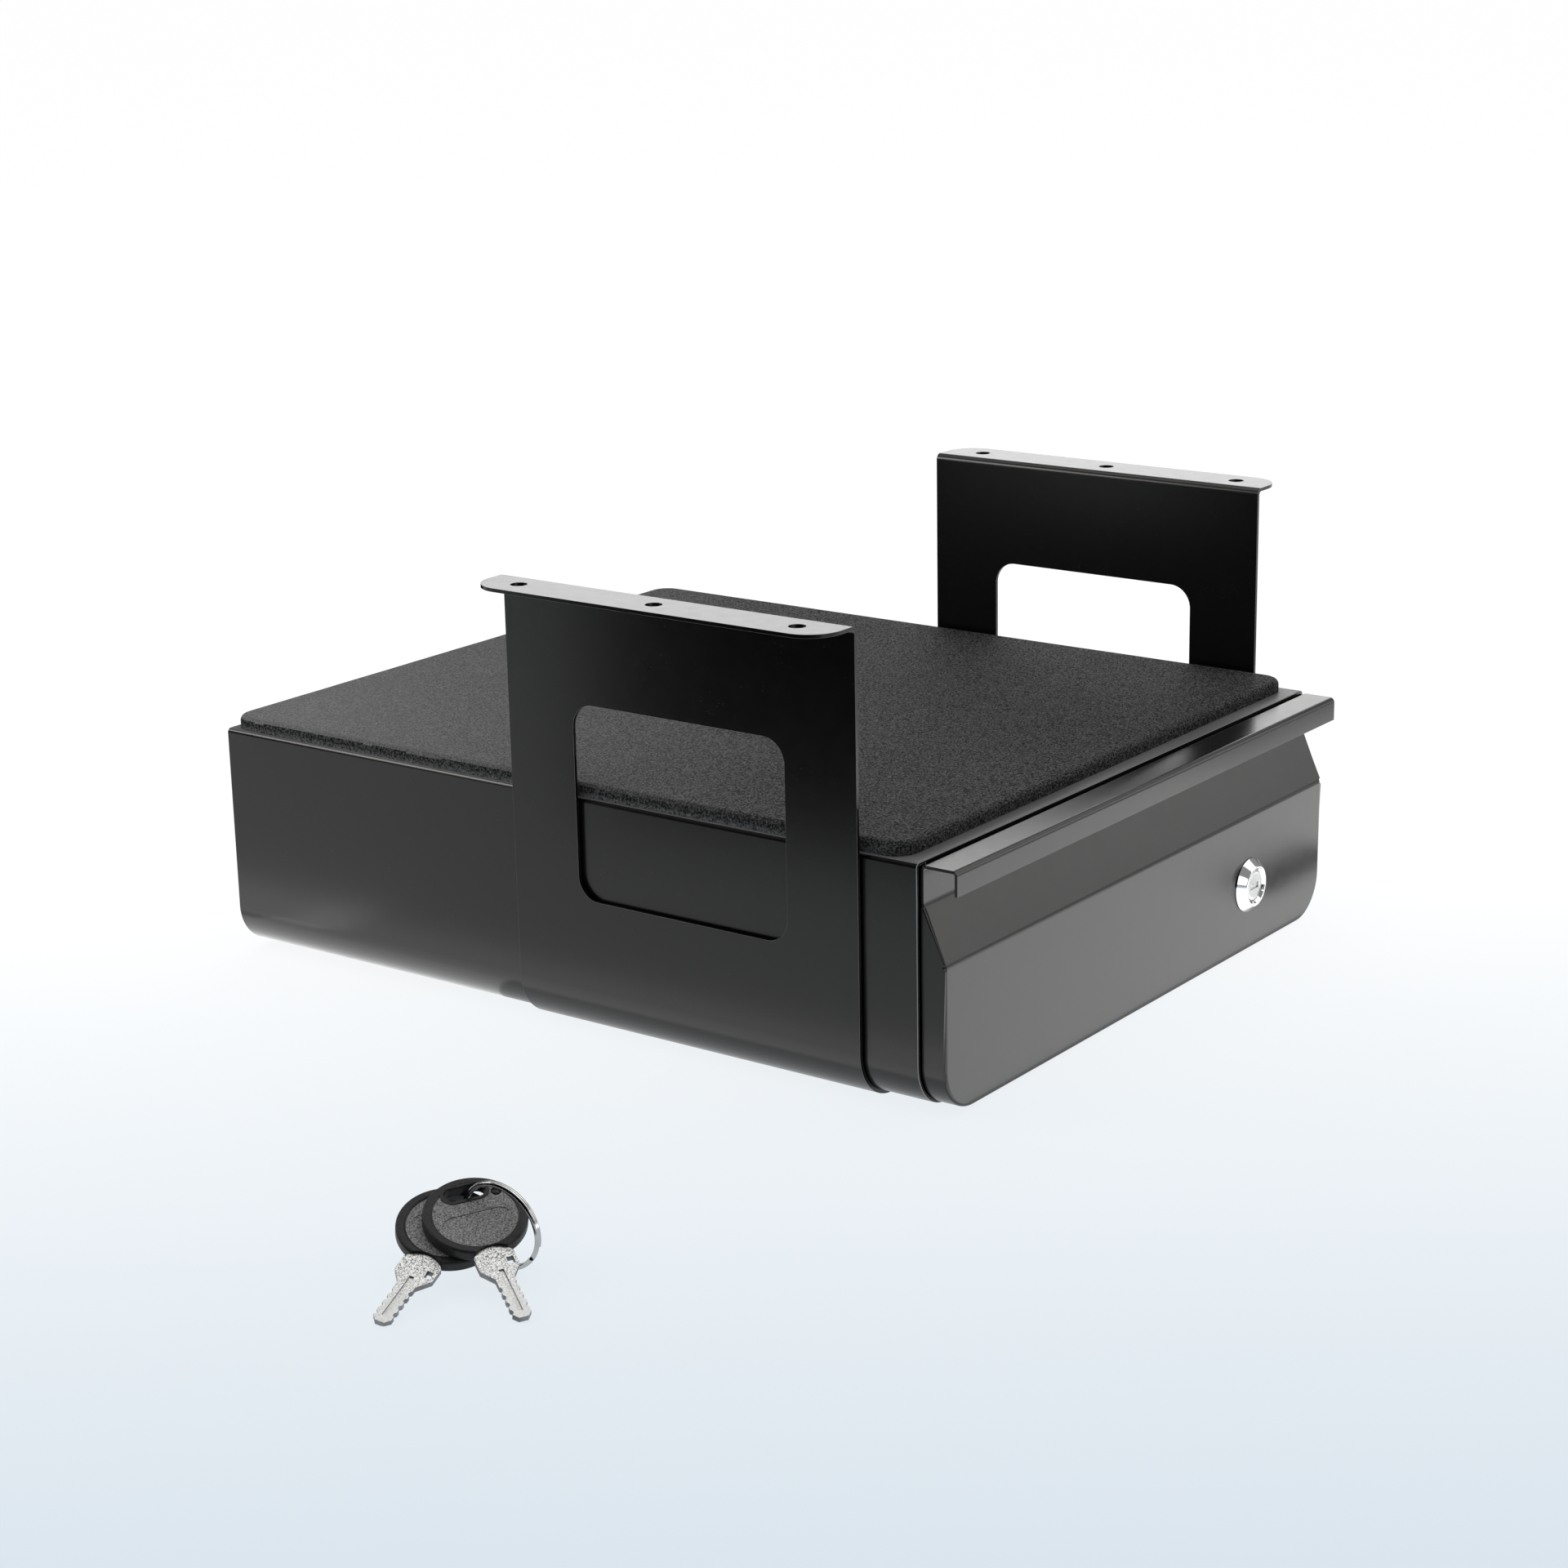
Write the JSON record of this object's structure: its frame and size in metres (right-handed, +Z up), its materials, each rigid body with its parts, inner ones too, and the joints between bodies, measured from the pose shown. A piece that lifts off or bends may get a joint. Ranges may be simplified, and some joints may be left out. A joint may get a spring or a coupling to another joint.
{
  "type": "lockable pull-out drawer",
  "caption": "Lockable under-desk drawer on ball-bearing slides, with a padded shelf on its housing, hung between two J-shaped brackets, and a bunch of keys.",
  "frame": {"origin": "centre of the desk screw pattern, on the plane of the flanges' upper faces, where the desk top lies", "axes": "+X to the right seen from the front, +Y from the front to the back, +Z up"},
  "size_m": [0.5766, 0.3789, 0.1895],
  "materials": {
    "black_coat": "satin black powder coat",
    "shelf_felt": "fine-grained dark grey foam and felt mat",
    "zinc": "zinc-plated sheet steel",
    "zinc_screw": "zinc-plated steel fasteners",
    "ball_steel": "polished bearing steel",
    "bumper_rubber": "matt black rubber",
    "bright_chrome": "bright chrome-plated zinc casting",
    "lock_brass": "nickel-plated brass",
    "key_plastic": "grained black moulding",
    "key_nickel": "nickel-plated steel, frosted",
    "ring_steel": "bright sprung steel wire"
  },
  "bodies": {
    "housing": {"housing_shell": "black_coat", "rear_panel": "black_coat", "rear_screws": "zinc_screw", "rear_nuts": "zinc_screw", "shelf_mat": "shelf_felt", "bracket_left": "black_coat", "bracket_right": "black_coat", "bracket_screws_left": "zinc_screw", "bracket_screws_right": "zinc_screw", "slide_rail_left": "zinc", "slide_rail_right": "zinc", "slide_bumper_left": "bumper_rubber", "slide_bumper_right": "bumper_rubber", "key_head_lower": "key_plastic", "key_blade_lower": "key_nickel", "key_head_upper": "key_plastic", "key_blade_upper": "key_nickel", "key_ring": "ring_steel"},
    "drawer": {"drawer_tray": "black_coat", "drawer_front": "black_coat", "front_nuts": "zinc_screw", "drawer_rail_left": "zinc", "drawer_rail_right": "zinc", "rail_screws_left": "zinc_screw", "rail_screws_right": "zinc_screw", "lock_body": "bright_chrome", "lock_washer": "zinc_screw", "lock_nut": "lock_brass"},
    "cage_left": {"ball_cage_left": "zinc", "cage_balls_left": "ball_steel"},
    "cage_right": {"ball_cage_right": "zinc", "cage_balls_right": "ball_steel"},
    "lock_core": {"lock_plug": "lock_brass", "lock_cam": "zinc", "cam_washer": "zinc_screw", "cam_screw": "zinc_screw"}
  },
  "joints": [
    {"name": "drawer_slide", "type": "slide", "parent": "housing", "child": "drawer", "axis": [0, -1, 0], "range_m": [0, 0.22]},
    {"name": "cage_left_roll", "type": "slide", "parent": "housing", "child": "cage_left", "axis": [0, -1, 0], "range_m": [0, 0.11]},
    {"name": "cage_right_roll", "type": "slide", "parent": "housing", "child": "cage_right", "axis": [0, -1, 0], "range_m": [0, 0.11]},
    {"name": "lock_turn", "type": "hinge", "parent": "drawer", "child": "lock_core", "pos_m": [0.0852, -0.1212, -0.158], "axis": [0, 1, 0], "range_deg": [0, 90]}
  ],
  "couplings": [
    {"joint": "cage_left_roll", "follows": "drawer_slide", "ratio": 0.5},
    {"joint": "cage_right_roll", "follows": "drawer_slide", "ratio": 0.5}
  ]
}
